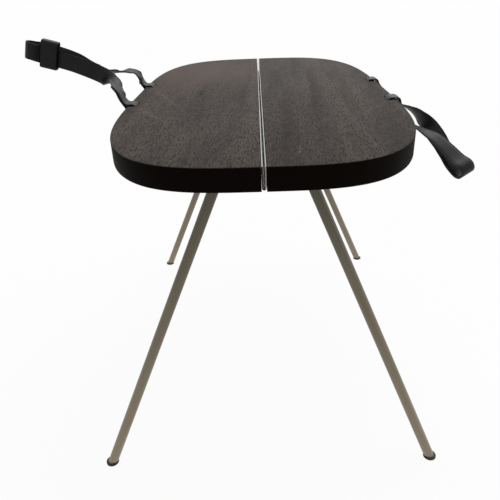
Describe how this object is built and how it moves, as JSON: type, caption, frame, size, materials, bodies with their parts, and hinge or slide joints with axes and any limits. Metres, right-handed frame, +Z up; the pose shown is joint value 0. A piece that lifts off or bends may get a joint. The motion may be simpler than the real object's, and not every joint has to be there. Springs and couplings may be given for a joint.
{
  "type": "folding camping table",
  "caption": "Low oval folding table with hollow dark wood halves on a full-length hinge, splayed steel legs that fold into the halves, and black leather carrying straps.",
  "frame": {"origin": "on the floor, under the middle of the whole object's box; the hinge lies 32 mm to its +X side, because the left strap reaches further out than the right one", "axes": "+X across the hinge from the left half to the right half, +Y along the hinge from the front to the rear, +Z up"},
  "size_m": [0.7123, 0.8, 0.6054],
  "materials": {
    "dark_wood": "dark stained open-pore wood, matt",
    "leg_steel": "lengthwise brushed, warm tint",
    "hinge_steel": "bright rolled strip",
    "zinc_steel": "zinc plated",
    "black_leather": "smooth, satin",
    "black_rubber": "matt"
  },
  "bodies": {
    "left_half": {"left_top_panel": "dark_wood", "left_rim": "dark_wood", "left_hinge_rail": "dark_wood", "left_hinge_leaf": "hinge_steel", "hinge_pin": "hinge_steel", "left_front_strap_anchor": "black_leather", "left_rear_strap_anchor": "black_leather", "front_left_leg_bracket": "zinc_steel", "front_left_bracket_screw_front": "zinc_steel", "front_left_bracket_screw_rear": "zinc_steel", "front_left_pivot_bolt": "zinc_steel", "front_left_pivot_nut": "zinc_steel", "rear_left_leg_bracket": "zinc_steel", "rear_left_bracket_screw_front": "zinc_steel", "rear_left_bracket_screw_rear": "zinc_steel", "rear_left_pivot_bolt": "zinc_steel", "rear_left_pivot_nut": "zinc_steel"},
    "right_half": {"right_top_panel": "dark_wood", "right_rim": "dark_wood", "right_hinge_rail": "dark_wood", "right_hinge_leaf": "hinge_steel", "right_front_strap_anchor": "black_leather", "right_rear_strap_anchor": "black_leather", "front_right_leg_bracket": "zinc_steel", "front_right_bracket_screw_front": "zinc_steel", "front_right_bracket_screw_rear": "zinc_steel", "front_right_pivot_bolt": "zinc_steel", "front_right_pivot_nut": "zinc_steel", "rear_right_leg_bracket": "zinc_steel", "rear_right_bracket_screw_front": "zinc_steel", "rear_right_bracket_screw_rear": "zinc_steel", "rear_right_pivot_bolt": "zinc_steel", "rear_right_pivot_nut": "zinc_steel"},
    "front_left_leg": {"front_left_leg_knuckle": "zinc_steel", "front_left_leg_tube": "leg_steel", "front_left_foot_pad": "black_rubber"},
    "rear_left_leg": {"rear_left_leg_knuckle": "zinc_steel", "rear_left_leg_tube": "leg_steel", "rear_left_foot_pad": "black_rubber"},
    "front_right_leg": {"front_right_leg_knuckle": "zinc_steel", "front_right_leg_tube": "leg_steel", "front_right_foot_pad": "black_rubber"},
    "rear_right_leg": {"rear_right_leg_knuckle": "zinc_steel", "rear_right_leg_tube": "leg_steel", "rear_right_foot_pad": "black_rubber"},
    "left_strap_swing": {"left_strap": "black_leather"},
    "left_keeper": {"left_strap_keeper": "black_leather"},
    "right_strap_swing": {"right_strap": "black_leather"}
  },
  "joints": [
    {"name": "half_fold", "type": "hinge", "parent": "left_half", "child": "right_half", "pos_m": [0.032, 0, 0.4845], "axis": [0, 1, 0], "range_deg": [0, 50]},
    {"name": "front_left_leg_fold", "type": "hinge", "parent": "left_half", "child": "front_left_leg", "pos_m": [-0.011, -0.284, 0.496], "axis": [0.9191, 0.0255, -0.3933], "range_deg": [0, 94.1]},
    {"name": "rear_left_leg_fold", "type": "hinge", "parent": "left_half", "child": "rear_left_leg", "pos_m": [-0.0055, 0.284, 0.496], "axis": [-0.917, -0.0199, 0.3984], "range_deg": [0, 95.2]},
    {"name": "front_right_leg_fold", "type": "hinge", "parent": "right_half", "child": "front_right_leg", "pos_m": [0.075, -0.284, 0.496], "axis": [0.9191, -0.0255, 0.3933], "range_deg": [0, 94.1]},
    {"name": "rear_right_leg_fold", "type": "hinge", "parent": "right_half", "child": "rear_right_leg", "pos_m": [0.0695, 0.284, 0.496], "axis": [-0.917, 0.0199, -0.3984], "range_deg": [0, 95.2]},
    {"name": "left_strap_bend", "type": "hinge", "parent": "left_half", "child": "left_strap_swing", "pos_m": [-0.1815, 0.005, 0.5146], "axis": [0, 1, 0], "range_deg": [-90, 50]},
    {"name": "keeper_slide", "type": "slide", "parent": "left_strap_swing", "child": "left_keeper", "axis": [-0.9552, 0, 0.2961], "range_m": [-0.04, 0]},
    {"name": "right_strap_bend", "type": "hinge", "parent": "right_half", "child": "right_strap_swing", "pos_m": [0.2455, -0.009, 0.5146], "axis": [0, 1, 0], "range_deg": [-110, 9]}
  ]
}
